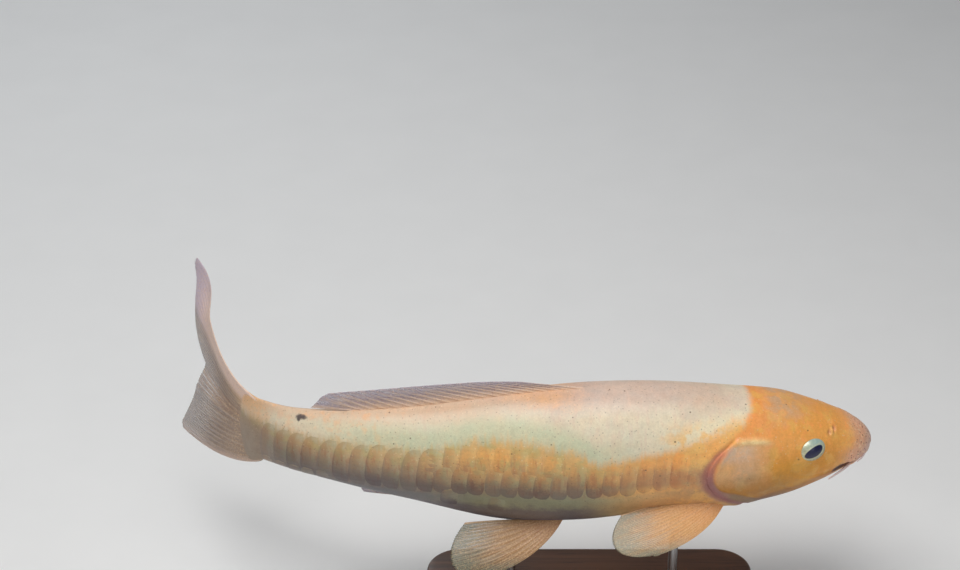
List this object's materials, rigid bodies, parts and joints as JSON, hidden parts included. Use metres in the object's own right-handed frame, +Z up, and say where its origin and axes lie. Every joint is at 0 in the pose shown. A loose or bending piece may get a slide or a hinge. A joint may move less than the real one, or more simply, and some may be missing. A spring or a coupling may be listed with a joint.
{
  "type": "koi carp",
  "caption": "Life-size still model of a slender pale koi carp with a yellow head and large flank scales, its tail turned to its left, held over a wooden display base by short steel rods.",
  "frame": {"origin": "centre of the stand's underside, on the surface that the stand rests on", "axes": "+X towards the head, -Y out of the fish's right flank, +Z up"},
  "size_m": [0.5215, 0.2086, 0.2348],
  "materials": {
    "skin": "moist pale skin, cream on the back and orange-yellow on the head",
    "scale": "moist yellow-gold scales with grey-brown edges",
    "fin": "thin rayed fin, peach at the root and clearer at the margin",
    "eye": "polished, dark pupil with a pale ring",
    "feeler": "moist, pale pinkish white",
    "stand_wood": "dark walnut, satin",
    "stand_steel": "brushed"
  },
  "bodies": {
    "root": {"head": "skin", "lower_jaw": "skin", "gill_cover_right": "skin", "gill_cover_left": "skin", "trunk_front": "skin", "trunk_rear": "skin", "tail_stalk": "skin", "tail_fin_upper": "fin", "tail_fin_lower": "fin", "back_fin": "fin", "vent_fin": "fin", "arm_fin_right": "fin", "arm_fin_left": "fin", "belly_fin_right": "fin", "belly_fin_left": "fin", "eye_right": "eye", "eye_left": "eye", "feeler_long_right": "feeler", "feeler_long_left": "feeler", "feeler_short_right": "feeler", "feeler_short_left": "feeler", "stand_base": "stand_wood", "stand_rod_front": "stand_steel", "stand_rod_rear": "stand_steel", "stand_collar_front": "stand_steel", "stand_collar_rear": "stand_steel"}
  },
  "joints": []
}
